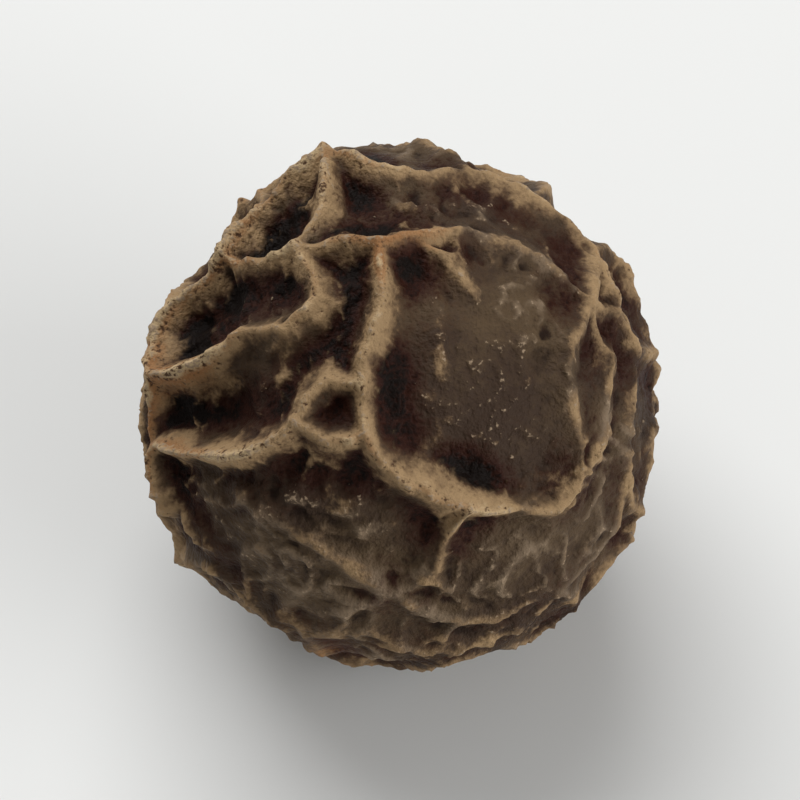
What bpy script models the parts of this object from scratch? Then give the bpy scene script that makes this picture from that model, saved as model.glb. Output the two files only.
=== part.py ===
"""Black peppercorn: the dried berry of the pepper vine, modelled as one solid.

The berry grew as one piece, so it is one object. As it dried, its skin sank onto the round seed and was
left with a net of raised folds. The shape follows that:

* the body is a ball that swells and sinks a little, and has fallen in at the upper left;
* the folds that can be seen are drawn as curves, and a seeded rule adds the net on the hidden side;
* every fold has a narrow crest and steep sides, and a shallow groove along its foot;
* a finer net of low folds wrinkles the skin in between;
* a small flat scar underneath is where the berry sat on its spike. Folds run into it from all sides, and
  the berry rests on the scar and on their worn ends.

Metres, +Z up. The origin is at the level of the scar, under the middle of the berry.
"""

import math
import random

import bmesh
import bpy
import numpy as np
from mathutils import Vector, kdtree, noise

MM = 0.001

# Driving sizes
BODY_RADIUS = 2.52 * MM  # the skin between the folds
FOLD_HEIGHT = 0.40 * MM  # a full fold, from the skin to its crest
FOLD_WIDTH = 0.19 * MM  # distance from the crest at which a fold has lost two thirds of its height
FOLD_ROUNDNESS = 1.7  # 1 is a knife edge and 2 a round hill
WIDTH_CHANGE = 0.35  # share of that width that comes and goes
WIDTH_CHANGE_LENGTH = 1.2 * MM
GROOVE_DEPTH = 0.10 * MM  # how much the skin sinks beside a full fold
GROOVE_WIDTH = 0.40 * MM
DRAWN_RADIUS = 2.80 * MM  # the drawn folds below are laid out on a ball this big, where their crests are
SCAR_RADIUS = 0.75 * MM  # flat disc underneath
SCAR_EDGE = 0.60 * MM  # width of the slope from the disc to the skin round it
SCAR_LEVEL = 2.60 * MM  # from the middle of the ball down to the flat disc
SCAR_REACH = math.radians(60)  # the disc and its slope lie within this angle of straight down
SCAR_SPARE = 0.04 * MM  # the skin reaches this far past the level where the scar is cut flat
SCAR_CALM = 1.05 * MM  # the folds fade out within this distance of the middle of the scar
SCAR_CELL = 0.85 * MM  # half width of the cell that the scar lies in
SPOKE_HEIGHT = 1.0  # the folds that run into the scar, as a share of the full height

# The drawn folds are seen from the front, this far above the horizon
VIEW_ELEVATION = math.radians(57)

# Each fold that is seen: points to the right of and above the middle of the outline, in mm, and the
# height there as a share of the full height
SEEN_FOLDS = {
    "round the large cell": [
        (-0.23, 1.66, 1.0), (-0.20, 1.12, 0.9), (-0.35, 0.61, 0.9), (-0.42, 0.19, 0.9), (-0.37, -0.15, 0.9),
        (-0.12, -0.57, 0.9), (0.28, -0.88, 0.95), (0.61, -0.99, 1.0), (1.21, -1.00, 0.85), (1.68, -1.02, 0.7),
        (1.93, -0.72, 0.5), (1.84, -0.28, 0.4), (1.76, 0.23, 0.4), (1.80, 0.70, 0.5), (1.98, 1.12, 0.6),
    ],
    "top": [
        (-1.02, 1.63, 1.0), (-0.65, 1.64, 0.85), (-0.23, 1.66, 1.0), (0.08, 1.80, 0.85), (0.38, 1.91, 0.6),
        (0.80, 1.92, 0.35), (1.30, 1.72, 0.35), (1.70, 1.40, 0.4), (1.98, 1.12, 0.6), (2.28, 1.10, 0.6),
    ],
    "shoulder": [(0.08, 1.80, 0.6), (0.46, 1.62, 0.45), (0.74, 1.30, 0.25)],
    "streak in the large cell": [(0.33, 1.10, 0.12), (0.38, 0.80, 0.28), (0.36, 0.42, 0.15)],
    "top to rim": [(-1.02, 1.63, 1.0), (-0.84, 1.95, 0.95), (-0.69, 2.51, 1.4)],
    "top to left rim": [(-1.02, 1.63, 1.0), (-1.40, 1.56, 0.7), (-1.80, 1.58, 1.4)],
    "left crest": [
        (-1.02, 1.63, 1.0), (-0.86, 1.30, 0.85), (-0.95, 0.98, 0.95), (-1.20, 0.79, 0.9), (-1.66, 0.77, 0.85),
        (-2.00, 0.52, 1.1), (-2.46, 0.36, 1.3),
    ],
    "left branch": [
        (-0.42, 0.22, 0.95), (-0.72, 0.28, 0.9), (-0.98, 0.10, 0.9), (-1.12, -0.14, 1.0), (-1.36, -0.33, 1.1),
        (-1.72, -0.42, 1.15), (-2.10, -0.42, 1.15), (-2.54, -0.33, 1.0),
    ],
    "under the pit": [(-1.12, -0.14, 0.9), (-0.78, -0.31, 0.8), (-0.37, -0.23, 0.9)],
    "down from the large cell": [
        (0.61, -0.99, 1.0), (0.55, -1.28, 0.55), (0.42, -1.62, 0.45), (0.16, -1.92, 0.35),
        (-0.10, -2.03, 0.4),
    ],
    "low crest": [
        (-1.67, -0.93, 0.3), (-1.21, -1.24, 0.25), (-0.80, -1.58, 0.4), (-0.10, -2.03, 0.4),
        (0.42, -2.24, 0.3), (0.95, -2.27, 0.3), (1.55, -1.94, 0.3),
    ],
    "left rim": [
        (-0.69, 2.51, 1.4), (-1.24, 2.30, 1.2), (-1.68, 1.92, 1.35), (-1.80, 1.58, 1.45), (-2.06, 1.36, 1.35),
        (-2.36, 1.10, 1.35), (-2.48, 0.76, 1.3), (-2.48, 0.32, 1.2), (-2.56, -0.20, 0.9), (-2.48, -0.78, 0.6),
    ],
    "right rim": [
        (-0.69, 2.51, 1.4), (-0.20, 2.42, 0.85), (0.28, 2.48, 0.6), (0.67, 2.53, 0.65), (1.26, 2.30, 0.75),
        (1.66, 2.02, 0.75), (1.98, 1.71, 0.75), (2.16, 1.34, 0.75), (2.40, 1.02, 0.6), (2.53, 0.63, 0.5),
        (2.50, -0.10, 0.4), (2.46, -0.86, 0.4),
    ],
    "lower rim": [
        (2.46, -0.86, 0.4), (2.22, -1.42, 0.3), (1.77, -1.91, 0.3), (1.12, -2.42, 0.3), (0.30, -2.60, 0.35),
        (-0.40, -2.44, 0.3), (-1.08, -2.38, 0.35), (-1.78, -1.91, 0.4), (-2.18, -1.30, 0.4),
        (-2.48, -0.78, 0.6),
    ],
    "right wall": [
        (1.98, 1.12, 0.6), (2.19, 0.62, 0.4), (2.20, 0.0, 0.35), (2.12, -0.48, 0.4), (1.93, -0.72, 0.5),
    ],
}
SEEN_REACH = math.radians(68)  # how far round the ball from the line of sight the drawn folds go
# Where the body stands out or falls in: right and up, in mm, how far, and over what angle
SEEN_SWELLS = {
    "fallen in at the upper left": (-2.10, 1.80, -0.24 * MM, 0.50),
    "under the tall crest at the top": (-0.55, 2.65, 0.16 * MM, 0.35),
    "right of the large cell": (2.00, -0.10, 0.06 * MM, 0.22),
    "floor of the dark cell at the left": (-1.95, 0.05, -0.28 * MM, 0.16),
}
CALM_MIDDLE = (1.3, -2.2)  # where the skin under and right of the seen side is smoothest, in mm
CALM_REACH = math.radians(75)
CALM_LOSS = 0.65  # share of the height that hidden folds lose there
RIM_PULL = 0.30  # a drawn fold that ends this near the rim, in radians, runs on to a hidden junction

# The net on the hidden side
HIDDEN_CELLS = (0.42 * MM, 0.85 * MM)  # half widths of its cells
HIDDEN_JUNCTIONS = (0.45, 0.90)  # shares of the full height where its folds meet
DEEPEST_SAG = 0.5  # share of that height that is lost half way between two junctions
FOLD_BOW = 0.16  # most that a fold bows sideways, as a share of its length

# The finer net all over
LOW_CELLS = (0.20 * MM, 0.42 * MM)
LOW_JUNCTIONS = (-0.6, 1.0)  # a share under nothing counts as nothing
LOW_FOLD_HEIGHT = 0.14 * MM
LOW_FOLD_WIDTH = 0.095 * MM
LOW_FOLD_MARKS = 8  # points on each run of a low fold that the distance to it is taken from
LOW_FOLD_REACH = 0.19 * MM  # a low fold ends this far from its crest
SMOOTH_MIDDLE = (0.95, 0.45)  # middle of the large cell, right and up, in mm, where the skin is smooth
SMOOTH_RADIUS = 0.3 * MM  # no low folds within this distance of it
SMOOTH_FADE = 1.0 * MM  # they come back over this distance

CELL_TRIES = 4000
CELL_CLEARANCE = 0.92  # share of two half widths that two middles stay apart
SEED = 11

FOLD_STEP = 0.22 * MM  # length of the straight runs that a fold is made of
BLEND = 9  # how sharply folds that meet flow into each other
WANDER = 0.13 * MM  # sideways wander of every fold
WANDER_LENGTH = 0.9 * MM
SWELL = 0.10 * MM  # slow rise and fall of the body
SWELL_LENGTH = 1.9 * MM
NOTCH = 0.30  # share of a fold's height that comes and goes along it
NOTCH_LENGTH = 0.45 * MM
NOTCH_LEAN = 0.2  # more than nothing, so that more of the crest is notched than not

# Each noise is read this far along the noise field, so that no two are alike
SWELL_NOISE = 0
WANDER_NOISES = (10, 20, 30)
NOTCH_NOISE = 50
WIDTH_NOISE = 90

SKIN_COLOUR = (0.035, 0.024, 0.018)
SKIN_ROUGHNESS = 0.6

SHARP_ANGLE = math.radians(50)  # edges sharper than this, such as the scar's, are shaded as edges
FINE_LEVEL = 7  # icosphere subdivisions of the shape before it is thinned
TRIANGLES = 11000
LEAST_FACING = 0.05  # how far every face looks out from the middle of the ball, where 1 is straight out
UNFOLD_ROUNDS = 20


def line_of_sight():
    return Vector((0, -math.cos(VIEW_ELEVATION), math.sin(VIEW_ELEVATION)))


def seen_direction(across, up):
    """The direction of the point seen at these distances from the middle, in mm."""
    flat = Vector((across, up)) * MM / DRAWN_RADIUS
    depth = math.sqrt(max(0.0, 1.0 - flat.length_squared))
    upright = Vector((0, math.sin(VIEW_ELEVATION), math.cos(VIEW_ELEVATION)))
    return Vector((flat.x, 0, 0)) + upright * flat.y + line_of_sight() * depth


def smooth_curve(points, heights):
    """A curve through points of the ball, in even short runs, with a height at each of its points."""
    curve, levels = [], []
    for i in range(len(points) - 1):
        before, start = points[max(i - 1, 0)], points[i]
        end, after = points[i + 1], points[min(i + 2, len(points) - 1)]
        runs = max(1, round((end - start).length * DRAWN_RADIUS / FOLD_STEP))
        for run in range(runs):
            t = run / runs
            bend = (end - before) * t + (2 * before - 5 * start + 4 * end - after) * t**2
            bend += (3 * start - before - 3 * end + after) * t**3
            curve.append((start + bend / 2).normalized())
            levels.append(heights[i] * (1 - t) + heights[i + 1] * t)
    return curve + [points[-1].normalized()], levels + [heights[-1]]


def scattered_cells(draw, half_widths, cells):
    """Adds cells of random half width to the given ones, where there is room for them."""
    for _ in range(CELL_TRIES):
        middle = Vector([draw.gauss(0, 1) for _ in range(3)]).normalized()
        angle = draw.uniform(*half_widths) / BODY_RADIUS
        if all(middle.angle(other) > CELL_CLEARANCE * (angle + far) for other, far in cells):
            cells.append((middle, angle))
    return cells


def net(draw, cells, junction_heights, bare=0):
    """The folds between cells, and for each cell the junctions round it.

    The middles of the cells, each set further out the wider its cell is, have a convex hull. Its
    triangles stand for junctions, and its edges for the folds between two cells. The first cells, as
    many as are bare, have no folds along their borders.
    """
    hull = bmesh.new()
    for middle, angle in cells:
        hull.verts.new(middle / math.cos(angle))
    middles = list(hull.verts)
    bmesh.ops.convex_hull(hull, input=hull.verts)
    hull.normal_update()
    calm = seen_direction(*CALM_MIDDLE)
    junction = {}
    for face in hull.faces:
        near_calm = max(0, 1 - face.normal.angle(calm) / CALM_REACH)
        junction[face] = max(0, draw.uniform(*junction_heights)) * (1 - CALM_LOSS * near_calm)
    folds = []
    for edge in hull.edges:
        one, other = edge.link_faces
        start, end = one.normal.copy(), other.normal.copy()
        bow = draw.uniform(-FOLD_BOW, FOLD_BOW) * (end - start).length
        through = (start + end).normalized() + start.cross(end).normalized() * bow
        sag = 1 - draw.uniform(0, DEEPEST_SAG)
        heights = [junction[one], (junction[one] + junction[other]) / 2 * sag, junction[other]]
        if not any(middle in middles[:bare] for middle in edge.verts):
            folds.append(smooth_curve([start, through, end], heights))
    corners = [[face.normal.copy() for face in middle.link_faces] for middle in middles]
    hull.free()
    return folds, corners


def main_folds():
    """The drawn folds, the hidden net that they run on into, and the folds that run into the scar.

    The seen side is the net's first cell and the scar its second.
    """
    draw = random.Random(SEED)
    down = Vector((0, 0, -1))
    cells = [(line_of_sight(), SEEN_REACH), (down, SCAR_CELL / BODY_RADIUS)]
    folds, corners = net(draw, scattered_cells(draw, HIDDEN_CELLS, cells), HIDDEN_JUNCTIONS, bare=2)
    folds += [smooth_curve([corner, down], [SPOKE_HEIGHT] * 2) for corner in corners[1]]
    for drawn in SEEN_FOLDS.values():
        points = [seen_direction(across, up) for across, up, _ in drawn]
        heights = [height for _, _, height in drawn]
        for end in (0, -1):
            if points[end].angle(line_of_sight()) > SEEN_REACH - RIM_PULL:
                nearest = min(corners[0], key=lambda corner: corner.angle(points[end]))
                points.insert(0 if end == 0 else len(points), nearest)
                heights.insert(0 if end == 0 else len(heights), heights[end])
        folds.append(smooth_curve(points, heights))
    return folds


def noise_at(directions, length, place):
    """Smooth noise on the ball with bumps of this length, from about -1 to 1."""
    scale = BODY_RADIUS / length
    shift = Vector((place, 0, 0))
    return np.array([noise.noise(Vector(d) * scale + shift) for d in directions])


def wandered(directions):
    """Where to look up the folds for each direction, so that they wander sideways."""
    moved = [noise_at(directions, WANDER_LENGTH, place) for place in WANDER_NOISES]
    moved = directions + np.stack(moved, axis=1) * (WANDER / BODY_RADIUS)
    return moved / np.linalg.norm(moved, axis=1)[:, None]


def smooth_step(share):
    share = np.clip(share, 0, 1)
    return share * share * (3 - 2 * share)


def main_relief(directions):
    """How high the folds stand and how deep the grooves beside them are, as shares of full size."""
    width_change = WIDTH_CHANGE * noise_at(directions, WIDTH_CHANGE_LENGTH, WIDTH_NOISE)
    width = FOLD_WIDTH / DRAWN_RADIUS * (1 + width_change)
    groove_width = GROOVE_WIDTH / DRAWN_RADIUS
    total = np.zeros(len(directions))
    groove = np.zeros(len(directions))
    for points, heights in main_folds():
        best = np.zeros(len(directions))
        for a, b, low, high in zip(points, points[1:], heights, heights[1:]):
            a, along = np.array(a), np.array(b - a)
            t = np.clip((directions - a) @ along / (along @ along), 0, 1)
            distance = np.linalg.norm(directions - a - t[:, None] * along, axis=1)
            height = low + (high - low) * t
            best = np.maximum(best, height * np.exp(-((distance / width) ** FOLD_ROUNDNESS)))
            groove = np.maximum(groove, height * np.exp(-((distance / groove_width) ** 2)))
        total += best**BLEND
    return total ** (1 / BLEND), groove


def low_relief(directions):
    """How high the finer net stands, as a share of its full height."""
    draw = random.Random(SEED + 1)
    folds, _ = net(draw, scattered_cells(draw, LOW_CELLS, []), LOW_JUNCTIONS)
    marks, levels = [], []
    for points, heights in folds:
        for a, b, low, high in zip(points, points[1:], heights, heights[1:]):
            for mark in range(LOW_FOLD_MARKS):
                t = mark / LOW_FOLD_MARKS
                marks.append(a.lerp(b, t))
                levels.append(low + (high - low) * t)
    tree = kdtree.KDTree(len(marks))
    for index, mark in enumerate(marks):
        tree.insert(mark, index)
    tree.balance()
    relief = np.zeros(len(directions))
    width = LOW_FOLD_WIDTH / BODY_RADIUS
    for i, direction in enumerate(directions):
        for _, mark, distance in tree.find_range(direction, LOW_FOLD_REACH / BODY_RADIUS):
            relief[i] = max(relief[i], levels[mark] * math.exp(-((distance / width) ** 2)))
    from_smooth = np.linalg.norm(directions - np.array(seen_direction(*SMOOTH_MIDDLE)), axis=1)
    return relief * np.clip((from_smooth * BODY_RADIUS - SMOOTH_RADIUS) / SMOOTH_FADE, 0, 1)


def skin_radius(directions):
    """The distance from the middle of the ball to its skin in each direction."""
    moved = wandered(directions)
    fold, groove = main_relief(moved)
    notch = 1 - NOTCH * np.clip(noise_at(directions, NOTCH_LENGTH, NOTCH_NOISE) + NOTCH_LEAN, 0, 1)
    relief = FOLD_HEIGHT * fold * notch + LOW_FOLD_HEIGHT * low_relief(moved) * np.clip(1 - fold, 0, 1)
    body = BODY_RADIUS + SWELL * noise_at(directions, SWELL_LENGTH, SWELL_NOISE)
    for across, up, swell, reach in SEEN_SWELLS.values():
        away = np.linalg.norm(directions - np.array(seen_direction(across, up)), axis=1)
        body += swell * np.exp(-((away / reach) ** 2))

    downward = np.maximum(-directions[:, 2], math.cos(SCAR_REACH))
    level = (SCAR_LEVEL + SCAR_SPARE) / downward
    from_scar = level * np.sqrt(1 - downward**2)
    kept = smooth_step((from_scar - SCAR_RADIUS) / (SCAR_CALM - SCAR_RADIUS))
    skin = body + (relief - GROOVE_DEPTH * groove) * kept
    return skin + (level - skin) * smooth_step(1 - (from_scar - SCAR_RADIUS) / SCAR_EDGE)


def whole_skin():
    """The closed skin of the berry round the middle of the ball, before the scar is cut."""
    bm = bmesh.new()
    bmesh.ops.create_icosphere(bm, subdivisions=FINE_LEVEL, radius=1.0)
    radii = skin_radius(np.array([vert.co for vert in bm.verts]))
    for vert, radius in zip(bm.verts, radii):
        vert.co *= radius
    mesh = bpy.data.meshes.new("whole skin")
    bm.to_mesh(mesh)
    bm.free()
    return mesh


def thinned(mesh):
    """The same surface with fewer triangles, kept small where it bends."""
    holder = bpy.data.objects.new("whole skin", mesh)
    bpy.context.scene.collection.objects.link(holder)
    fewer = holder.modifiers.new("fewer", "DECIMATE")
    fewer.ratio = TRIANGLES / len(mesh.polygons)
    evaluated = holder.evaluated_get(bpy.context.evaluated_depsgraph_get())
    result = bpy.data.meshes.new_from_object(evaluated)
    bpy.data.objects.remove(holder)
    return result


def unfold(bm):
    """Smooths the corners of each face that was folded over while thinning, until it looks outwards."""
    for _ in range(UNFOLD_ROUNDS):
        bm.normal_update()
        folded = [face for face in bm.faces if face.normal.dot(face.verts[0].co.normalized()) < LEAST_FACING]
        corners = {vert for face in folded for vert in face.verts}
        axes = {"use_axis_x": True, "use_axis_y": True, "use_axis_z": True}
        bmesh.ops.smooth_vert(bm, verts=list(corners), factor=0.5, **axes)


def stood_on_scar(mesh):
    """Cuts the scar and the folds round it flat at z = 0, and centres the box on x = y = 0."""
    bm = bmesh.new()
    bm.from_mesh(mesh)
    unfold(bm)
    bmesh.ops.translate(bm, verts=bm.verts, vec=(0, 0, SCAR_LEVEL))
    everything = bm.verts[:] + bm.edges[:] + bm.faces[:]
    bmesh.ops.bisect_plane(bm, geom=everything, plane_co=(0, 0, 0), plane_no=(0, 0, 1), clear_inner=True)
    outline = [edge for edge in bm.edges if edge.is_boundary]
    bmesh.ops.triangle_fill(bm, edges=outline, use_beauty=True, use_dissolve=False)
    bmesh.ops.recalc_face_normals(bm, faces=bm.faces[:])
    across = [vert.co.x for vert in bm.verts]
    along = [vert.co.y for vert in bm.verts]
    aside = (-(min(across) + max(across)) / 2, -(min(along) + max(along)) / 2, 0)
    bmesh.ops.translate(bm, verts=bm.verts, vec=aside)
    bm.to_mesh(mesh)
    bm.free()


def skin_material():
    made = bpy.data.materials.new("dried pepper skin")
    made.use_nodes = True
    shader = made.node_tree.nodes["Principled BSDF"]
    shader.inputs["Base Color"].default_value = (*SKIN_COLOUR, 1)
    shader.inputs["Roughness"].default_value = SKIN_ROUGHNESS
    shader.inputs["Metallic"].default_value = 0.0
    return made


def main():
    for old in list(bpy.data.objects):
        bpy.data.objects.remove(old)
    mesh = thinned(whole_skin())
    stood_on_scar(mesh)
    mesh.shade_smooth()
    mesh.set_sharp_from_angle(angle=SHARP_ANGLE)
    mesh.materials.append(skin_material())
    berry = bpy.data.objects.new("peppercorn", mesh)
    bpy.context.scene.collection.objects.link(berry)
    return berry


if __name__ == "__main__":
    main()
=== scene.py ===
"""The finish of one black peppercorn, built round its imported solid.

One piece, the berry's skin, replaces the solid. It has the same folds as the solid, read from the same
curves and the same seeded nets at a finer grain, and adds what is too small for it: the wobble and beading
of the crests, pleats down the sides of the folds, fine flowing wrinkles, and the corky scar underneath.

Metres, +Z up, in the solid's own frame.
"""

from __future__ import annotations

import logging
import math
import random
from dataclasses import dataclass, field
from enum import Enum
from typing import Any

import bmesh
import bpy
import numpy as np
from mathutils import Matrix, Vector, kdtree, noise

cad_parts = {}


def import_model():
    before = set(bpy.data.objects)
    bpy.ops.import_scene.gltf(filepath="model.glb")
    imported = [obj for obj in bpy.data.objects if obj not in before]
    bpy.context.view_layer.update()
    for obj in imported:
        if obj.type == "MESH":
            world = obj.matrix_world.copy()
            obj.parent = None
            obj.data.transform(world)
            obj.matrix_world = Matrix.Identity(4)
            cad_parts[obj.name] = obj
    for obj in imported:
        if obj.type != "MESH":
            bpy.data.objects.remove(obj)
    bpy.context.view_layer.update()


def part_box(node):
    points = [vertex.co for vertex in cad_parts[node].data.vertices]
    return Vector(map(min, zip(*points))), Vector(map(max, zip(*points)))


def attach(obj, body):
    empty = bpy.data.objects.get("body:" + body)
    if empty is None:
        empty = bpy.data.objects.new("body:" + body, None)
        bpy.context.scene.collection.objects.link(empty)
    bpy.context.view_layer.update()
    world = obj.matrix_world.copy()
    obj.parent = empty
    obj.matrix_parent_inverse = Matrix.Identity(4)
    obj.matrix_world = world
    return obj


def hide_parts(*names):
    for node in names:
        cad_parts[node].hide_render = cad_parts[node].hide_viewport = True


log = logging.getLogger("peppercorn")

MM = 0.001
NODE = "peppercorn"

# Each fold on the seen side: points right of and above the middle of the outline, in mm, with the height
# there as a share of a full fold's height
SEEN_FOLDS: dict[str, list[tuple[float, float, float]]] = {
    "round the large cell": [
        (-0.23, 1.66, 1.0), (-0.20, 1.12, 0.9), (-0.35, 0.61, 0.9), (-0.42, 0.19, 0.9), (-0.37, -0.15, 0.9),
        (-0.12, -0.57, 0.9), (0.28, -0.88, 0.95), (0.61, -0.99, 1.0), (1.21, -1.00, 0.85), (1.68, -1.02, 0.7),
        (1.93, -0.72, 0.5), (1.84, -0.28, 0.4), (1.76, 0.23, 0.4), (1.80, 0.70, 0.5), (1.98, 1.12, 0.6),
    ],
    "top": [
        (-1.02, 1.63, 1.0), (-0.65, 1.64, 0.85), (-0.23, 1.66, 1.0), (0.08, 1.80, 0.85), (0.38, 1.91, 0.6),
        (0.80, 1.92, 0.35), (1.30, 1.72, 0.35), (1.70, 1.40, 0.4), (1.98, 1.12, 0.6), (2.28, 1.10, 0.6),
    ],
    "shoulder": [(0.08, 1.80, 0.6), (0.46, 1.62, 0.45), (0.74, 1.30, 0.25)],
    "streak in the large cell": [(0.33, 1.10, 0.12), (0.38, 0.80, 0.28), (0.36, 0.42, 0.15)],
    "top to rim": [(-1.02, 1.63, 1.0), (-0.84, 1.95, 0.95), (-0.69, 2.51, 1.4)],
    "top to left rim": [(-1.02, 1.63, 1.0), (-1.40, 1.56, 0.7), (-1.80, 1.58, 1.4)],
    "left crest": [
        (-1.02, 1.63, 1.0), (-0.86, 1.30, 0.85), (-0.95, 0.98, 0.95), (-1.20, 0.79, 0.9), (-1.66, 0.77, 0.85),
        (-2.00, 0.52, 1.1), (-2.46, 0.36, 1.3),
    ],
    "left branch": [
        (-0.42, 0.22, 0.95), (-0.72, 0.28, 0.9), (-0.98, 0.10, 0.9), (-1.12, -0.14, 1.0), (-1.36, -0.33, 1.1),
        (-1.72, -0.42, 1.15), (-2.10, -0.42, 1.15), (-2.54, -0.33, 1.0),
    ],
    "under the pit": [(-1.12, -0.14, 0.9), (-0.78, -0.31, 0.8), (-0.37, -0.23, 0.9)],
    "down from the large cell": [
        (0.61, -0.99, 1.0), (0.55, -1.28, 0.55), (0.42, -1.62, 0.45), (0.16, -1.92, 0.35),
        (-0.10, -2.03, 0.4),
    ],
    "low crest": [
        (-1.67, -0.93, 0.3), (-1.21, -1.24, 0.25), (-0.80, -1.58, 0.4), (-0.10, -2.03, 0.4),
        (0.42, -2.24, 0.3), (0.95, -2.27, 0.3), (1.55, -1.94, 0.3),
    ],
    "left rim": [
        (-0.69, 2.51, 1.4), (-1.24, 2.30, 1.2), (-1.68, 1.92, 1.35), (-1.80, 1.58, 1.45), (-2.06, 1.36, 1.35),
        (-2.36, 1.10, 1.35), (-2.48, 0.76, 1.3), (-2.48, 0.32, 1.2), (-2.56, -0.20, 0.9), (-2.48, -0.78, 0.6),
    ],
    "right rim": [
        (-0.69, 2.51, 1.4), (-0.20, 2.42, 0.85), (0.28, 2.48, 0.6), (0.67, 2.53, 0.65), (1.26, 2.30, 0.75),
        (1.66, 2.02, 0.75), (1.98, 1.71, 0.75), (2.16, 1.34, 0.75), (2.40, 1.02, 0.6), (2.53, 0.63, 0.5),
        (2.50, -0.10, 0.4), (2.46, -0.86, 0.4),
    ],
    "lower rim": [
        (2.46, -0.86, 0.4), (2.22, -1.42, 0.3), (1.77, -1.91, 0.3), (1.12, -2.42, 0.3), (0.30, -2.60, 0.35),
        (-0.40, -2.44, 0.3), (-1.08, -2.38, 0.35), (-1.78, -1.91, 0.4), (-2.18, -1.30, 0.4),
        (-2.48, -0.78, 0.6),
    ],
    "right wall": [
        (1.98, 1.12, 0.6), (2.19, 0.62, 0.4), (2.20, 0.0, 0.35), (2.12, -0.48, 0.4), (1.93, -0.72, 0.5),
    ],
}

# Where the body stands out or falls in: right and up, how far, all in mm, and over what angle in radians
SEEN_SWELLS: dict[str, tuple[float, float, float, float]] = {
    "fallen in at the upper left": (-2.10, 1.80, -0.24, 0.50),
    "under the tall crest at the top": (-0.55, 2.65, 0.16, 0.35),
    "right of the large cell": (2.00, -0.10, 0.06, 0.22),
    "floor of the dark cell at the left": (-1.95, 0.05, -0.28, 0.16),
}


def linear(colour: str) -> tuple[float, float, float, float]:
    """Turns an sRGB hex colour into Blender's linear one.

    Args:
        colour: the colour as "#rrggbb".

    Returns:
        Linear red, green, blue and an alpha of 1.
    """
    parts = [int(colour[i : i + 2], 16) / 255 for i in (1, 3, 5)]
    curve = [c / 12.92 if c <= 0.04045 else ((c + 0.055) / 1.055) ** 2.4 for c in parts]
    return (*curve, 1.0)


def smooth_step(share: np.ndarray) -> np.ndarray:
    """Eases a share from 0 to 1, level at both ends."""
    share = np.clip(share, 0, 1)
    return share * share * (3 - 2 * share)


@dataclass(frozen=True)
class Sight:
    """The line along which the berry's seen side is looked at, and the ball that seen points lie on."""

    elevation: float = math.radians(57)
    ball_radius: float = 2.80 * MM

    def line(self) -> Vector:
        """The direction from the berry to the eye."""
        return Vector((0, -math.cos(self.elevation), math.sin(self.elevation)))

    def direction(self, across: float, up: float) -> Vector:
        """Finds the direction of a seen point from the middle of the berry.

        Args:
            across: how far right of the middle it is seen, in mm.
            up: how far above the middle it is seen, in mm.

        Returns:
            A unit vector.
        """
        flat = Vector((across, up)) * MM / self.ball_radius
        depth = math.sqrt(max(0.0, 1.0 - flat.length_squared))
        upright = Vector((0, math.sin(self.elevation), math.cos(self.elevation)))
        return Vector((flat.x, 0, 0)) + upright * flat.y + self.line() * depth


SIGHT = Sight()


@dataclass
class Fold:
    """One raised fold of the skin, as points on a unit ball with a height at each."""

    points: list[Vector]
    heights: list[float]

    @classmethod
    def through(cls, points: list[Vector], heights: list[float], step: float = 0.22 * MM) -> Fold:
        """Runs a smooth curve through a few points of the ball.

        Args:
            points: unit vectors that the fold passes.
            heights: the fold's height at each of them, as a share of a full fold's.
            step: length of the straight runs that the curve is made of.

        Returns:
            The fold, in even short runs.
        """
        curve, levels = [], []
        for i in range(len(points) - 1):
            before, start = points[max(i - 1, 0)], points[i]
            end, after = points[i + 1], points[min(i + 2, len(points) - 1)]
            runs = max(1, round((end - start).length * SIGHT.ball_radius / step))
            for run in range(runs):
                t = run / runs
                bend = (end - before) * t + (2 * before - 5 * start + 4 * end - after) * t**2
                bend += (3 * start - before - 3 * end + after) * t**3
                curve.append((start + bend / 2).normalized())
                levels.append(heights[i] * (1 - t) + heights[i + 1] * t)
        return cls(curve + [points[-1].normalized()], levels + [heights[-1]])

    def runs(self) -> list[tuple[Vector, Vector, float, float, float]]:
        """Lists the straight runs.

        Returns:
            Each run's start and end, the heights there, and the length of fold before it.
        """
        listed, before = [], 0.0
        for a, b, low, high in zip(self.points, self.points[1:], self.heights, self.heights[1:]):
            listed.append((a, b, low, high, before))
            before += (b - a).length
        return listed


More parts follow.
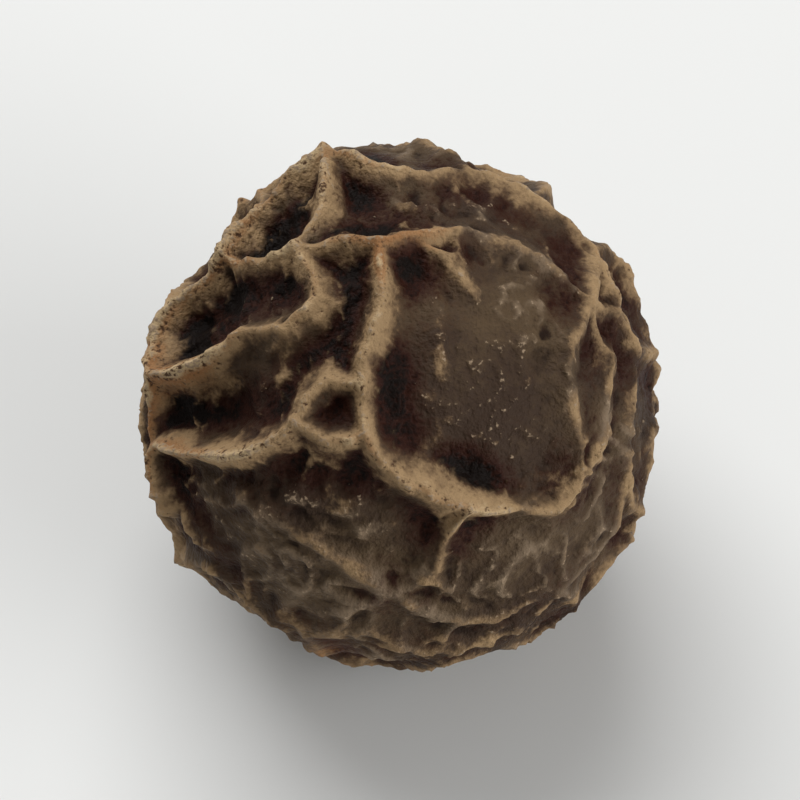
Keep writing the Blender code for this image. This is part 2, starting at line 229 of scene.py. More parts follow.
@dataclass
class FoldNet:
    """A seeded net of folds: round cells pushed together, with a fold between each two that meet."""

    seed: int
    half_widths: tuple[float, float]
    junction_heights: tuple[float, float]
    ball_radius: float
    cells: list[tuple[Vector, float]] = field(default_factory=list)
    bare: int = 0
    deepest_sag: float = 0.5
    bow: float = 0.16
    tries: int = 4000
    clearance: float = 0.92
    calm_middle: tuple[float, float] = (1.3, -2.2)
    calm_reach: float = math.radians(75)
    calm_loss: float = 0.65

    def build(self) -> tuple[list[Fold], list[list[Vector]]]:
        """Scatters the cells and draws the folds between them.

        The middles of the cells, each set further out the wider its cell is, have a convex hull. Its
        triangles stand for junctions, and its edges for the folds between two cells. The first cells, as
        many as are bare, have no folds along their borders.

        Returns:
            The folds, and for each cell the junctions round it.
        """
        draw = random.Random(self.seed)
        self.scatter(draw)
        hull = bmesh.new()
        for middle, angle in self.cells:
            hull.verts.new(middle / math.cos(angle))
        middles = list(hull.verts)
        bmesh.ops.convex_hull(hull, input=hull.verts)
        hull.normal_update()
        calm = SIGHT.direction(*self.calm_middle)
        junction: dict[bmesh.types.BMFace, float] = {}
        for face in hull.faces:
            near_calm = max(0, 1 - face.normal.angle(calm) / self.calm_reach)
            junction[face] = max(0, draw.uniform(*self.junction_heights)) * (1 - self.calm_loss * near_calm)
        folds = []
        for edge in hull.edges:
            fold = self.fold_between(edge, junction, draw)
            if not any(middle in middles[: self.bare] for middle in edge.verts):
                folds.append(fold)
        corners = [[face.normal.copy() for face in middle.link_faces] for middle in middles]
        hull.free()
        return folds, corners

    def scatter(self, draw: random.Random) -> None:
        """Adds cells of random half width where there is room for them.

        Args:
            draw: the net's own random draws.
        """
        for _ in range(self.tries):
            middle = Vector([draw.gauss(0, 1) for _ in range(3)]).normalized()
            angle = draw.uniform(*self.half_widths) / self.ball_radius
            if all(middle.angle(other) > self.clearance * (angle + far) for other, far in self.cells):
                self.cells.append((middle, angle))

    def fold_between(
        self, edge: bmesh.types.BMEdge, junction: dict[bmesh.types.BMFace, float], draw: random.Random
    ) -> Fold:
        """Draws the fold that one edge of the hull stands for.

        Args:
            edge: the edge between two cells' middles.
            junction: the height at each junction, by the hull's face.
            draw: the net's own random draws.

        Returns:
            A fold that bows sideways and sags between its two junctions.
        """
        one, other = edge.link_faces
        start, end = one.normal.copy(), other.normal.copy()
        bow = draw.uniform(-self.bow, self.bow) * (end - start).length
        through = (start + end).normalized() + start.cross(end).normalized() * bow
        sag = 1 - draw.uniform(0, self.deepest_sag)
        heights = [junction[one], (junction[one] + junction[other]) / 2 * sag, junction[other]]
        return Fold.through([start, through, end], heights)


@dataclass
class SkinRelief:
    """Where the skin stands, in each direction from the middle of the berry."""

    # As in the solid
    body_radius: float = 2.52 * MM
    fold_height: float = 0.40 * MM
    fold_width: float = 0.19 * MM
    fold_roundness: float = 1.7
    width_change: float = 0.35
    width_change_length: float = 1.2 * MM
    groove_depth: float = 0.10 * MM
    groove_width: float = 0.40 * MM
    groove_spread: float = 3
    scar_radius: float = 0.75 * MM
    scar_edge: float = 0.60 * MM
    scar_level: float = 2.60 * MM
    scar_reach: float = math.radians(60)
    scar_spare: float = 0.04 * MM
    scar_calm: float = 1.05 * MM
    scar_cell: float = 0.85 * MM
    spoke_height: float = 1.0
    seen_reach: float = math.radians(68)
    rim_pull: float = 0.30
    hidden_cells: tuple[float, float] = (0.42 * MM, 0.85 * MM)
    hidden_junctions: tuple[float, float] = (0.45, 0.90)
    low_cells: tuple[float, float] = (0.20 * MM, 0.42 * MM)
    low_junctions: tuple[float, float] = (-0.6, 1.0)
    low_fold_height: float = 0.14 * MM
    low_fold_width: float = 0.095 * MM
    low_fold_marks: int = 8
    low_fold_reach: float = 0.19 * MM
    smooth_middle: tuple[float, float] = (0.95, 0.45)
    smooth_radius: float = 0.3 * MM
    smooth_fade: float = 1.0 * MM
    seed: int = 11
    blend: float = 9
    wander: float = 0.13 * MM
    wander_length: float = 0.9 * MM
    swell: float = 0.10 * MM
    swell_length: float = 1.9 * MM
    notch: float = 0.30
    notch_length: float = 0.45 * MM
    notch_lean: float = 0.2
    swell_noise: float = 0
    wander_noises: tuple[float, float, float] = (10, 20, 30)
    notch_noise: float = 50
    width_noise: float = 90

    # Finer than the solid: what shows from a hand's breadth away
    wobble: float = 0.022 * MM
    wobble_length: float = 0.26 * MM
    wobble_noises: tuple[float, float, float] = (110, 120, 130)
    bead: float = 0.20
    bead_length: float = 0.20 * MM
    bead_noise: float = 150
    pinch: float = 0.030 * MM
    pinch_width: float = 0.060 * MM
    pleat: float = 0.070 * MM
    pleat_length: float = 0.15 * MM
    pleat_lead: float = 0.25
    pleat_fade: float = 3
    fold_spacing: float = 7.3
    wrinkle: float = 0.085 * MM
    wrinkle_length: float = 0.28 * MM
    wrinkle_octaves: int = 4
    wrinkle_level: float = 0.30
    wrinkle_noise: float = 200
    flow: float = 0.16 * MM
    flow_length: float = 0.50 * MM
    flow_noises: tuple[float, float, float] = (320, 330, 340)
    octave_shift: float = 17
    ridge_sharpness: float = 2.2
    ridge_gain: float = 1.6
    ridge_rest: float = 0.15
    patch_length: float = 0.8 * MM
    patch_noise: float = 260
    patch_lean: float = 0.5
    patch_least: float = 0.35
    smooth_share: float = 0.60
    crest_share: float = 0.4
    tallest_rub: float = 1.15
    shelter_width: float = 0.60 * MM
    cork_radius: float = 0.42 * MM
    cork_edge: float = 0.10 * MM
    cork_depth: float = 0.045 * MM
    cork_grain: float = 0.020 * MM
    cork_grain_length: float = 0.07 * MM
    cork_noise: float = 300

    # The mesh is finest this many fold widths round a crest, and finer on low folds by this share
    fine_widths: float = 1.3
    fine_low_share: float = 0.3

    def noise_at(self, directions: np.ndarray, length: float, place: float) -> np.ndarray:
        """Reads smooth noise on the ball.

        Args:
            directions: unit vectors, one a row.
            length: the length of the noise's bumps.
            place: where the noise is read, so that no two noises are alike.

        Returns:
            Values from about -1 to 1.
        """
        scale = self.body_radius / length
        shift = Vector((place, 0, 0))
        return np.array([noise.noise(Vector(d) * scale + shift) for d in directions])

    def ridges(self, directions: np.ndarray, length: float, octaves: int, place: float) -> np.ndarray:
        """Reads noise that stands up in branching ridges, each octave finer and only where the last is high.

        Args:
            directions: unit vectors, one a row.
            length: the length of the coarsest bumps.
            octaves: how many times the noise is halved in size.
            place: where the noise is read.

        Returns:
            Values from 0 to about 1.
        """
        total, weight = np.zeros(len(directions)), np.ones(len(directions))
        for octave in range(octaves):
            near = self.noise_at(directions, length / 2**octave, place + self.octave_shift * octave)
            ridge = np.clip(1 - self.ridge_sharpness * np.abs(near), 0, 1) ** 2
            total += ridge * weight / 2**octave
            weight = np.clip(ridge * self.ridge_gain, self.ridge_rest, 1)
        return total / self.ridge_gain

    def pushed(
        self, directions: np.ndarray, push: float, length: float, places: tuple[float, float, float]
    ) -> np.ndarray:
        """Moves directions sideways by noise, so that what is looked up there wanders.

        Args:
            directions: unit vectors, one a row.
            push: how far the noise moves them at most.
            length: the length of the noise's bumps.
            places: where the noise is read for each axis.

        Returns:
            The moved unit vectors.
        """
        shifts = np.stack([self.noise_at(directions, length, place) for place in places], axis=1)
        moved = directions + shifts * (push / self.body_radius)
        return moved / np.linalg.norm(moved, axis=1)[:, None]

    def main_folds(self) -> list[Fold]:
        """Lists the drawn folds, the hidden net that they run on into, and the folds into the scar.

        Returns:
            The folds. The seen side is the net's first cell and the scar its second.
        """
        down = Vector((0, 0, -1))
        cells = [(SIGHT.line(), self.seen_reach), (down, self.scar_cell / self.body_radius)]
        net = FoldNet(self.seed, self.hidden_cells, self.hidden_junctions, self.body_radius, cells, bare=2)
        folds, corners = net.build()
        folds += [Fold.through([corner, down], [self.spoke_height] * 2) for corner in corners[1]]
        for drawn in SEEN_FOLDS.values():
            points = [SIGHT.direction(across, up) for across, up, _ in drawn]
            heights = [height for _, _, height in drawn]
            for end in (0, -1):
                if points[end].angle(SIGHT.line()) > self.seen_reach - self.rim_pull:
                    nearest = min(corners[0], key=lambda corner: corner.angle(points[end]))
                    points.insert(0 if end == 0 else len(points), nearest)
                    heights.insert(0 if end == 0 else len(heights), heights[end])
            folds.append(Fold.through(points, heights))
        return folds

    def main_relief(self, moved: np.ndarray, width: np.ndarray) -> dict[str, np.ndarray]:
        """Measures the main folds.

        Args:
            moved: unit vectors to look the folds up at.
            width: the folds' width there, as a share of the drawn ball's radius.

        Returns:
            How high the folds stand, how near the line of a crest is and how deep the groove beside a fold
            is, as shares of full size. How much one fold and how much two folds shelter the skin. Then, for
            the nearest fold, the length along it and its number with a sign for the side.
        """
        groove_width = self.groove_width / SIGHT.ball_radius
        pinch_width = self.pinch_width / SIGHT.ball_radius
        shelter_width = self.shelter_width / SIGHT.ball_radius
        total, line, groove, by_one, by_two, run, number = (np.zeros(len(moved)) for _ in range(7))
        for index, fold in enumerate(self.main_folds()):
            middle = sum(fold.points, Vector((0, 0, 0))).normalized()
            reach = max(middle.angle(point) for point in fold.points) + self.groove_spread * groove_width
            near = np.nonzero(moved @ np.array(middle) > math.cos(reach))[0]
            here = moved[near]
            best, crest, side, shelter, where, sign = (np.zeros(len(near)) for _ in range(6))
            for start, end, low, high, before in fold.runs():
                a, along = np.array(start), np.array(end - start)
                t = np.clip((here - a) @ along / (along @ along), 0, 1)
                distance = np.linalg.norm(here - a - t[:, None] * along, axis=1)
                height = low + (high - low) * t
                lift = height * np.exp(-((distance / width[near]) ** self.fold_roundness))
                beside = height * np.exp(-((distance / groove_width) ** 2))
                won = beside > side
                where[won] = before + t[won] * (end - start).length
                sign[won] = np.sign(here[won] @ np.array(start.cross(end)))
                best, side = np.maximum(best, lift), np.maximum(side, beside)
                crest = np.maximum(crest, height * np.exp(-((distance / pinch_width) ** 2)))
                shelter = np.maximum(shelter, height * np.exp(-((distance / shelter_width) ** 2)))
            total[near] += best**self.blend
            line[near] = np.maximum(line[near], crest)
            by_two[near] = np.maximum(by_two[near], np.minimum(by_one[near], shelter))
            by_one[near] = np.maximum(by_one[near], shelter)
            won = side > groove[near]
            groove[near[won]], run[near[won]] = side[won], where[won]
            number[near[won]] = (index + 1) * sign[won]
        measured = {"fold": total ** (1 / self.blend), "line": line, "groove": groove}
        return {**measured, "by_one": by_one, "by_two": by_two, "run": run, "number": number}

    def low_relief(self, moved: np.ndarray) -> np.ndarray:
        """Measures the finer net.

        Args:
            moved: unit vectors to look the folds up at.

        Returns:
            How high the finer net stands, as a share of its full height.
        """
        net = FoldNet(self.seed + 1, self.low_cells, self.low_junctions, self.body_radius)
        marks, levels = [], []
        for fold in net.build()[0]:
            for start, end, low, high, _ in fold.runs():
                for mark in range(self.low_fold_marks):
                    t = mark / self.low_fold_marks
                    marks.append(start.lerp(end, t))
                    levels.append(low + (high - low) * t)
        tree = kdtree.KDTree(len(marks))
        for index, mark in enumerate(marks):
            tree.insert(mark, index)
        tree.balance()
        relief = np.zeros(len(moved))
        width, reach = self.low_fold_width / self.body_radius, self.low_fold_reach / self.body_radius
        for i, direction in enumerate(moved):
            for _, mark, distance in tree.find_range(direction, reach):
                relief[i] = max(relief[i], levels[mark] * math.exp(-((distance / width) ** 2)))
        return relief * self.roughened(moved)

    def roughened(self, directions: np.ndarray) -> np.ndarray:
        """How wrinkled the skin is, from 0 in the smooth middle of the large cell to 1."""
        away = np.linalg.norm(directions - np.array(SIGHT.direction(*self.smooth_middle)), axis=1)
        return np.clip((away * self.body_radius - self.smooth_radius) / self.smooth_fade, 0, 1)

    def steepness(self, directions: np.ndarray) -> np.ndarray:
        """Measures how much detail the skin holds, for the mesh to be fine where it matters.

        Args:
            directions: unit vectors, one a row.

        Returns:
            A share for each direction, about 1 on the crest of a full fold.
        """
        moved = self.pushed(directions, self.wander, self.wander_length, self.wander_noises)
        width = np.full(len(moved), self.fine_widths * self.fold_width / SIGHT.ball_radius)
        return self.main_relief(moved, width)["fold"] + self.fine_low_share * self.low_relief(moved)

    def reading(self, directions: np.ndarray) -> dict[str, np.ndarray]:
        """Reads the finished skin.

        Args:
            directions: unit vectors, one a row.

        Returns:
            The radius, and the shares that the colours follow: fold, line, rough, sunk, enclosed and cork.
        """
        moved = self.pushed(directions, self.wander, self.wander_length, self.wander_noises)
        moved = self.pushed(moved, self.wobble, self.wobble_length, self.wobble_noises)
        change = self.width_change * self.noise_at(directions, self.width_change_length, self.width_noise)
        main = self.main_relief(moved, self.fold_width / SIGHT.ball_radius * (1 + change))
        fold, line, groove = main["fold"], main["line"], main["groove"]
        lean = self.noise_at(directions, self.notch_length, self.notch_noise) + self.notch_lean
        notch = 1 - self.notch * np.clip(lean, 0, 1)
        bead = 1 - self.bead * np.abs(self.noise_at(directions, self.bead_length, self.bead_noise))
        flat = np.clip(1 - fold, 0, 1)
        relief = self.fold_height * fold * notch * bead
        relief += self.low_fold_height * self.low_relief(moved) * flat
        relief += self.pinch * line * bead - self.groove_depth * groove
        relief += self.fine_relief(directions, main)
        radius, cork = self.seated(directions, relief)
        return {
            "radius": radius,
            "fold": np.minimum(fold, self.tallest_rub) * notch * bead,
            "line": np.minimum(line, self.tallest_rub) * notch * bead,
            "rough": self.roughened(moved),
            # The groove and the shelter of two folds also set where shade is painted in furrows, pits and
            # small cells
            "sunk": groove * flat,
            "enclosed_shade": main["by_two"] * flat,
            "cork": cork,
        }

    def seated(self, directions: np.ndarray, relief: np.ndarray) -> tuple[np.ndarray, np.ndarray]:
        """Lays the relief on the swollen body, and cuts the flat scar that the berry rests on.

        Args:
            directions: unit vectors, one a row.
            relief: how far the skin stands out from the body there.

        Returns:
            The skin's radius, and the share of cork in it.
        """
        body = self.body_radius + self.swell * self.noise_at(directions, self.swell_length, self.swell_noise)
        for across, up, swell, reach in SEEN_SWELLS.values():
            away = np.linalg.norm(directions - np.array(SIGHT.direction(across, up)), axis=1)
            body += swell * MM * np.exp(-((away / reach) ** 2))
        downward = np.maximum(-directions[:, 2], math.cos(self.scar_reach))
        level = (self.scar_level + self.scar_spare) / downward
        from_scar = level * np.sqrt(1 - downward**2)
        kept = smooth_step((from_scar - self.scar_radius) / (self.scar_calm - self.scar_radius))
        skin = body + relief * kept
        skin += (level - skin) * smooth_step(1 - (from_scar - self.scar_radius) / self.scar_edge)
        cut = np.where(-directions[:, 2] > math.cos(self.scar_reach), self.scar_level / downward, np.inf)
        cork = smooth_step(1 - (from_scar - self.cork_radius) / self.cork_edge)
        grain = np.abs(self.noise_at(directions, self.cork_grain_length, self.cork_noise))
        return np.minimum(skin, cut) - cork * (self.cork_depth - self.cork_grain * grain), cork

    def fine_relief(self, directions: np.ndarray, main: dict[str, np.ndarray]) -> np.ndarray:
        """Adds up the pleats beside the folds and the wrinkles that flow over the skin.

        Args:
            directions: unit vectors, one a row.
            main: what main_relief measured there.

        Returns:
            How far the skin stands out for them.
        """
        along = main["run"] * self.body_radius / self.pleat_length
        spots = [Vector((s, self.fold_spacing * n, 0)) for s, n in zip(along, main["number"])]
        pleats = np.array([noise.noise(spot) for spot in spots])
        flat = np.clip(1 - main["fold"], 0, 1)
        lead = smooth_step((main["by_one"] - main["by_two"]) / self.pleat_lead)
        flank = main["groove"] ** self.pleat_fade * flat * lead
        flowing = self.pushed(directions, self.flow, self.flow_length, self.flow_noises)
        wrinkles = self.ridges(flowing, self.wrinkle_length, self.wrinkle_octaves, self.wrinkle_noise)
        patch = smooth_step(self.noise_at(directions, self.patch_length, self.patch_noise) + self.patch_lean)
        wrinkles *= self.patch_least + (1 - self.patch_least) * patch
        wrinkles *= self.smooth_share + (1 - self.smooth_share) * self.roughened(directions)
        wrinkles *= self.crest_share + (1 - self.crest_share) * flat
        return self.pleat * pleats * flank + self.wrinkle * (wrinkles - self.wrinkle_level)


def add(
    tree: bpy.types.NodeTree, kind: str, inputs: dict[str | int, Any] | None = None, **options: Any
) -> bpy.types.Node:
    """Adds a node with its settings and links.

    Args:
        tree: the node tree.
        kind: the node's type.
        inputs: for each input socket, by name or number, its value or the output socket to join to it.
        options: the node's own properties.

    Returns:
        The node.
    """
    node = tree.nodes.new(kind)
    for name, value in options.items():
        setattr(node, name, value)
    for name, value in (inputs or {}).items():
        if isinstance(value, bpy.types.NodeSocket):
            tree.links.new(value, node.inputs[name])
        else:
            node.inputs[name].default_value = value
    return node


# Sockets of a Mix node that blends colours
FACTOR, FIRST, SECOND, MIXED = 0, 6, 7, 2

# What the skin's mesh says at each of its points, as attributes that the finish reads
SHARES = ("fold", "line", "rough", "sunk", "enclosed_shade", "cork", "proud")


@dataclass(frozen=True)
class Coat:
    """A colour that lies over the skin where a sum of readings is high.

    The readings are named, each with the share that it adds to the sum. The coat starts where the sum
    passes start, and covers fully where it reaches full.
    """

    colour: str
    readings: dict[str, float]
    start: float
    full: float


@dataclass(frozen=True)
class DriedPericarp:
    """Dried pericarp, the skin and flesh of the berry, shrunk onto the seed in the sun.

    Fermenting and drying turn it brown-black and matt, with a grain like fine leather and no shine. Crests
    are rubbed to a pitted tan and pale dust lies on the open skin, laid lighter on raised wrinkles as painted
    highlight; wrinkle bottoms, furrows and small cells are darkened with painted shade over the skin's own
    dark brown.
    """

    name: str = "dried_pericarp"
    skin: str = "#3a2c22"
    coats: tuple[Coat, ...] = (
        # Patches of lighter and of redder brown, as the berry ripened unevenly
        Coat("#524230", {"patch": 1.0, "fleck": 0.3, "grain": 0.2}, 0.60, 0.90),
        Coat("#452b20", {"stain": 1.0}, 0.54, 0.75),
        # Grey-brown dust of broken skin where it is wrinkled and open, partly painted light: laid most on
        # raised wrinkles as a painted highlight, and kept out of the furrows and pits, which leaves painted
        # shade there
        Coat(
            "#7d6b57",
            {
                "rough": 0.5,
                "proud": 0.6,
                "patch": 2.4,
                "fleck": 0.5,
                "grain": 0.5,
                "sunk": -0.4,
                "enclosed_shade": -0.6,
            },
            2.02,
            2.87,
        ),
        # Painted shade: the bottoms of the fine wrinkles darkened, as shade falls in them
        Coat("#21150d", {"proud": -1.0, "fleck": 0.3, "grain": 0.3}, 0.65, 1.35),
        # Small cells and furrows darkened to red-brown, partly the skin's own colour and partly painted
        # shade, and the deepest, where two folds close in, to nearly black painted shade
        Coat("#2d130a", {"enclosed_shade": 1.2, "sunk": 0.3, "fleck": 0.6, "grain": 0.4}, 0.72, 1.15),
        Coat("#0d0502", {"enclosed_shade": 1.1, "sunk": 0.3, "fleck": 0.7, "grain": 0.7}, 1.18, 1.55),
        # Folds rubbed to brown, their crests to tan, rusty in places, and to paler tan where rubbed most
        Coat("#67513b", {"fold": 1.0, "proud": 0.3, "wear": 2.1, "fleck": 0.3, "grain": 0.4}, 1.60, 2.12),
        Coat("#967c5b", {"line": 0.3, "fold": 0.9, "proud": 0.3, "wear": 2.6, "grain": 0.7}, 1.98, 2.64),
        Coat("#8f6743", {"line": 0.8, "fold": 0.5, "stain": 3.0, "wear": 1.0, "grain": 0.7}, 3.10, 3.80),
        Coat("#b69e7a", {"line": 0.4, "fold": 0.9, "proud": 0.3, "wear": 2.6, "grain": 0.9}, 2.86, 3.52),
        # Brown pores and breaks in the worn crests
        Coat("#4a3424", {"fold": 0.25, "grain": -1.0, "fleck": -0.7}, -0.57, -0.40),
        # Specks of pale dust, drawn about twice as coarse as the real ones, so that they show
        Coat("#948069", {"grain": 1.0, "fleck": 0.5, "proud": 0.15, "sunk": -0.3}, 0.88, 1.02),
        # The cork of the scar
        Coat("#7c664b", {"cork": 1.0}, 0.0, 1.0),
    )
    roughness: float = 0.62
    roughness_change: float = 0.25
    specular: float = 0.12
    ior: float = 1.45
    grain_size: float = 0.045 * MM
    fleck_size: float = 0.11 * MM
    patch_size: float = 1.1 * MM
    stain_size: float = 1.4 * MM
    wear_size: float = 0.45 * MM
    patch_place: float = 34.5
    stain_place: float = 2.5
    detail: float = 3.0
    grain_height: float = 0.034 * MM
    fleck_height: float = 0.045 * MM

    def material(self) -> bpy.types.Material:
        """Builds the material.

        Returns:
            A material that reads the skin's own attributes and object coordinates.
        """
        made = bpy.data.materials.new(self.name)
        made.use_nodes = True
        tree = made.node_tree
        shader = tree.nodes["Principled BSDF"]
        shader.inputs["IOR"].default_value = self.ior
        shader.inputs["Specular IOR Level"].default_value = self.specular
        readings = self.readings(tree)
        tree.links.new(self.coloured(tree, readings), shader.inputs["Base Color"])
        smoothest = self.roughness - self.roughness_change / 2
        rough = {0: readings["grain"], 1: self.roughness_change, 2: smoothest}
        rough = add(tree, "ShaderNodeMath", rough, operation="MULTIPLY_ADD").outputs[0]
        tree.links.new(rough, shader.inputs["Roughness"])
        flecked = {"Height": readings["fleck"], "Distance": self.fleck_height}
        flecked = add(tree, "ShaderNodeBump", flecked).outputs["Normal"]
        grained = {"Height": readings["grain"], "Distance": self.grain_height, "Normal": flecked}
        grained = add(tree, "ShaderNodeBump", grained).outputs["Normal"]
        tree.links.new(grained, shader.inputs["Normal"])
        return made

    def readings(self, tree: bpy.types.NodeTree) -> dict[str, bpy.types.NodeSocket]:
        """Reads the skin's attributes, and noises of five sizes.

        Args:
            tree: the material's node tree.

        Returns:
            The output that gives each reading, by name.
        """
        found = {}
        for name in SHARES:
            found[name] = add(tree, "ShaderNodeAttribute", attribute_name=name).outputs["Fac"]
        place = add(tree, "ShaderNodeTexCoord").outputs["Object"]
        noises = {
            "grain": (self.grain_size, 0.0),
            "fleck": (self.fleck_size, 0.0),
            "patch": (self.patch_size, self.patch_place),
            "stain": (self.stain_size, self.stain_place),
            "wear": (self.wear_size, 0.0),
        }
        for name, (size, where) in noises.items():
            read = {"Vector": place, "Scale": 1 / size, "Detail": self.detail, "W": where}
            found[name] = add(tree, "ShaderNodeTexNoise", read, noise_dimensions="4D").outputs[0]
        return found

    def coloured(
        self, tree: bpy.types.NodeTree, readings: dict[str, bpy.types.NodeSocket]
    ) -> bpy.types.NodeSocket:
        """Lays the coats over the skin, one after another.

        Args:
            tree: the material's node tree.
            readings: the output that gives each reading, by name.

        Returns:
            The output that gives the colour.
        """
        skin = linear(self.skin)
        for coat in self.coats:
            total = 0.0
            for name, share in coat.readings.items():
                term = {0: readings[name], 1: share, 2: total}
                total = add(tree, "ShaderNodeMath", term, operation="MULTIPLY_ADD").outputs[0]
            span = {"Value": total, "From Min": coat.start, "From Max": coat.full}
            cover = add(tree, "ShaderNodeMapRange", span, interpolation_type="SMOOTHSTEP").outputs[0]
            laid = {FACTOR: cover, FIRST: skin, SECOND: linear(coat.colour)}
            skin = add(tree, "ShaderNodeMix", laid, data_type="RGBA").outputs[MIXED]
        return skin


@dataclass(frozen=True)
class MattCard:
    """Uncoated white card, matt, so that the shade on it is soft and it shows no shine."""

    name: str = "matt_card"
    colour: str = "#dedfde"
    roughness: float = 0.7

    def material(self) -> bpy.types.Material:
        """Builds the material.

        Returns:
            An even white.
        """
        made = bpy.data.materials.new(self.name)
        made.use_nodes = True
        shader = made.node_tree.nodes["Principled BSDF"]
        shader.inputs["Base Color"].default_value = linear(self.colour)
        shader.inputs["Roughness"].default_value = self.roughness
        return made


@dataclass
class BerrySkin:
    """The whole skin of the berry, as one closed mesh."""

    relief: SkinRelief = field(default_factory=SkinRelief)
    finish: DriedPericarp = field(default_factory=DriedPericarp)
    coarse_level: int = 7
    fine_share: float = 0.36
    proud_rounds: int = 12
    proud_height: float = 0.03 * MM

    def build(self, low: Vector, high: Vector) -> bpy.types.Object:
        """Models the skin where the solid is.

        Args:
            low: the solid's lowest corner.
            high: the solid's highest corner.

        Returns:
            The finished piece.
        """
        bm = bmesh.new()
        bmesh.ops.create_icosphere(bm, subdivisions=self.coarse_level, radius=1.0)
        steepness = self.relief.steepness(self.directions(bm))
        limit = np.quantile(steepness, 1 - self.fine_share)
        near = [edge for edge in bm.edges if max(steepness[vert.index] for vert in edge.verts) > limit]
        bmesh.ops.subdivide_edges(bm, edges=near, cuts=1, use_grid_fill=True)
        bmesh.ops.triangulate(bm, faces=bm.faces[:])

        directions = self.directions(bm)
        read = self.relief.reading(directions)
        points = self.fitted(directions * read["radius"][:, None], low, high)
        for vert, point in zip(bm.verts, points):
            vert.co = point
        mesh = bpy.data.meshes.new("peppercorn_skin")
        bm.to_mesh(mesh)
        bm.free()
        read["proud"] = self.proudness(mesh, read["radius"])
        for name in SHARES:
            attribute = mesh.attributes.new(name, "FLOAT", "POINT")
            attribute.data.foreach_set("value", read[name].astype(np.float32))
        mesh.shade_smooth()
        mesh.materials.append(self.finish.material())
        piece = bpy.data.objects.new("peppercorn_skin", mesh)
        bpy.context.scene.collection.objects.link(piece)
        return piece

    def directions(self, bm: bmesh.types.BMesh) -> np.ndarray:
        """The direction of each vertex from the middle of the ball."""
        points = np.array([vert.co for vert in bm.verts], dtype=float)
        return points / np.linalg.norm(points, axis=1)[:, None]

    def fitted(self, points: np.ndarray, low: Vector, high: Vector) -> np.ndarray:
        """Moves the skin to the solid's place, and keeps it inside the solid's box.

        Args:
            points: the skin's points round the middle of the ball.
            low: the solid's lowest corner.
            high: the solid's highest corner.

        Returns:
            The points in the solid's frame.
        """
        points = points + np.array((0, 0, self.relief.scar_level))
        own_low, own_high = points.min(axis=0), points.max(axis=0)
        own_middle = (own_low + own_high) / 2 * np.array((1, 1, 0))
        shrink = min(1, *(np.array(high - low) / (own_high - own_low)))
        middle = np.array(((low.x + high.x) / 2, (low.y + high.y) / 2, low.z))
        log.info("skin is scaled by %.4f to stay in the solid's box", shrink)
        return (points - own_middle) * shrink + middle

    def proudness(self, mesh: bpy.types.Mesh, radius: np.ndarray) -> np.ndarray:
        """Measures how far each vertex stands out from the skin close round it.

        Args:
            mesh: the skin's mesh.
            radius: the distance of each vertex from the middle of the ball.

        Returns:
            A share from -1 in a pit to 1 on a tip.
        """
        ends = np.empty(len(mesh.edges) * 2, dtype=np.int64)
        mesh.edges.foreach_get("vertices", ends)
        one, other = ends[0::2], ends[1::2]
        count = np.bincount(ends, minlength=len(radius))
        level = radius.copy()
        for _ in range(self.proud_rounds):
            total = np.bincount(one, level[other], len(radius)) + np.bincount(other, level[one], len(radius))
            level = (level + total / count) / 2
        return np.clip((radius - level) / self.proud_height, -1, 1)


class Lamp(Enum):
    """The soft lights: azimuth and elevation in degrees, width and strength."""

    WINDOW = (203, 50, 0.11, 1.0)
    FILL = (66, 20, 0.10, 0.80)


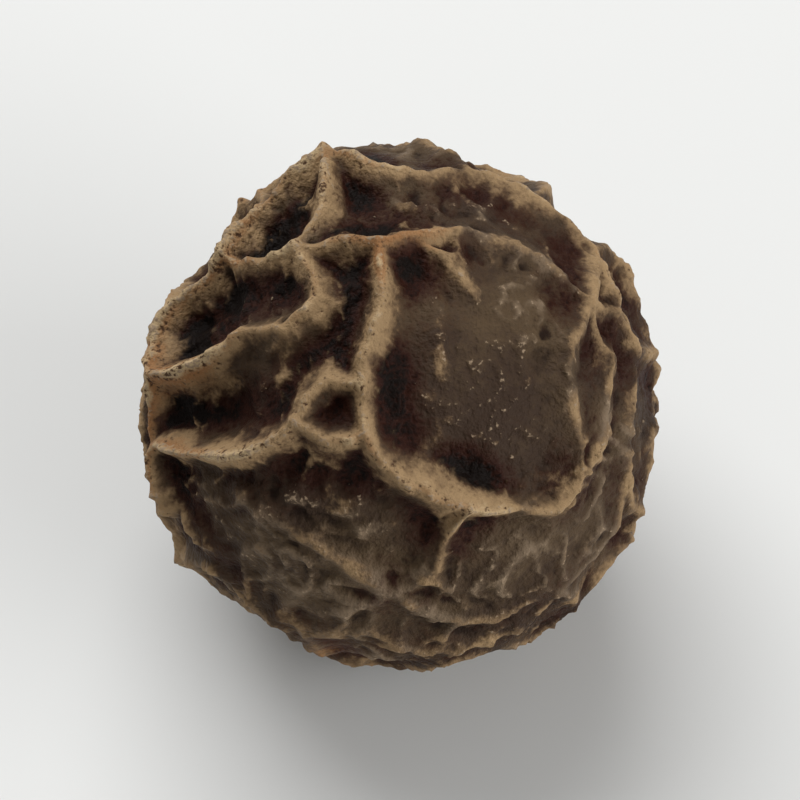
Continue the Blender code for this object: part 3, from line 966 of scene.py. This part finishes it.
@dataclass
class Studio:
    """The pale floor, the soft light and the camera."""

    card: MattCard = field(default_factory=MattCard)
    floor_width: float = 1.2
    lamp_distance: float = 0.12
    lamp_power: float = 0.152
    sky_colour: str = "#f5f3f0"
    sky_strength: float = 0.30
    lens: float = 300.0
    frame_share: float = 0.66
    clip_near: float = 0.05
    clip_far: float = 4.0

    def floor(self) -> bpy.types.Object:
        """Lays the floor at z = 0.

        Returns:
            The floor, marked as not part of the berry.
        """
        bm = bmesh.new()
        bmesh.ops.create_grid(bm, x_segments=1, y_segments=1, size=self.floor_width / 2)
        mesh = bpy.data.meshes.new("floor")
        bm.to_mesh(mesh)
        bm.free()
        mesh.materials.append(self.card.material())
        floor = bpy.data.objects.new("floor", mesh)
        bpy.context.scene.collection.objects.link(floor)
        return floor

    def light(self, target: Vector) -> None:
        """Hangs the lamps and the pale sky.

        Args:
            target: the point that the lamps look at.
        """
        for lamp in Lamp:
            azimuth, elevation, width, strength = lamp.value
            a, e = math.radians(azimuth), math.radians(elevation)
            back = Vector((math.sin(a) * math.cos(e), -math.cos(a) * math.cos(e), math.sin(e)))
            data = bpy.data.lights.new(lamp.name.lower(), "AREA")
            data.size = width
            data.energy = self.lamp_power * strength
            lamp_object = bpy.data.objects.new(lamp.name.lower(), data)
            lamp_object.location = target + back * self.lamp_distance
            lamp_object.rotation_mode = "QUATERNION"
            lamp_object.rotation_quaternion = (-back).to_track_quat("-Z", "Y")
            bpy.context.scene.collection.objects.link(lamp_object)
        world = bpy.data.worlds.new("pale_sky")
        world.use_nodes = True
        sky = world.node_tree.nodes["Background"]
        sky.inputs["Color"].default_value = linear(self.sky_colour)
        sky.inputs["Strength"].default_value = self.sky_strength
        bpy.context.scene.world = world
        bpy.context.scene.view_settings.view_transform = "Standard"

    def camera(self, target: Vector, width: float) -> None:
        """Sets the camera on the photo's line of sight.

        Args:
            target: the middle of the berry.
            width: the berry's width.
        """
        data = bpy.data.cameras.new("camera")
        data.lens = self.lens
        distance = width / self.frame_share * data.lens / data.sensor_width
        data.clip_start = distance * self.clip_near
        data.clip_end = self.floor_width * self.clip_far
        camera = bpy.data.objects.new("camera", data)
        camera.location = target + SIGHT.line() * distance
        camera.rotation_mode = "QUATERNION"
        camera.rotation_quaternion = (-SIGHT.line()).to_track_quat("-Z", "Y")
        bpy.context.scene.collection.objects.link(camera)
        bpy.context.scene.camera = camera


def main() -> None:
    """Builds the scene."""
    logging.basicConfig(level=logging.INFO, format="%(name)s: %(message)s")
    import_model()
    low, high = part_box(NODE)
    target = (low + high) / 2

    skin = BerrySkin().build(low, high)
    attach(skin, "root")
    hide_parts(NODE)
    log.info("skin: %d triangles", len(skin.data.polygons))

    studio = Studio()
    studio.floor()
    studio.light(target)
    studio.camera(target, high.x - low.x)
    log.info("floor, light and camera are set")

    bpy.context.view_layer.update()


if __name__ == "__main__":
    main()
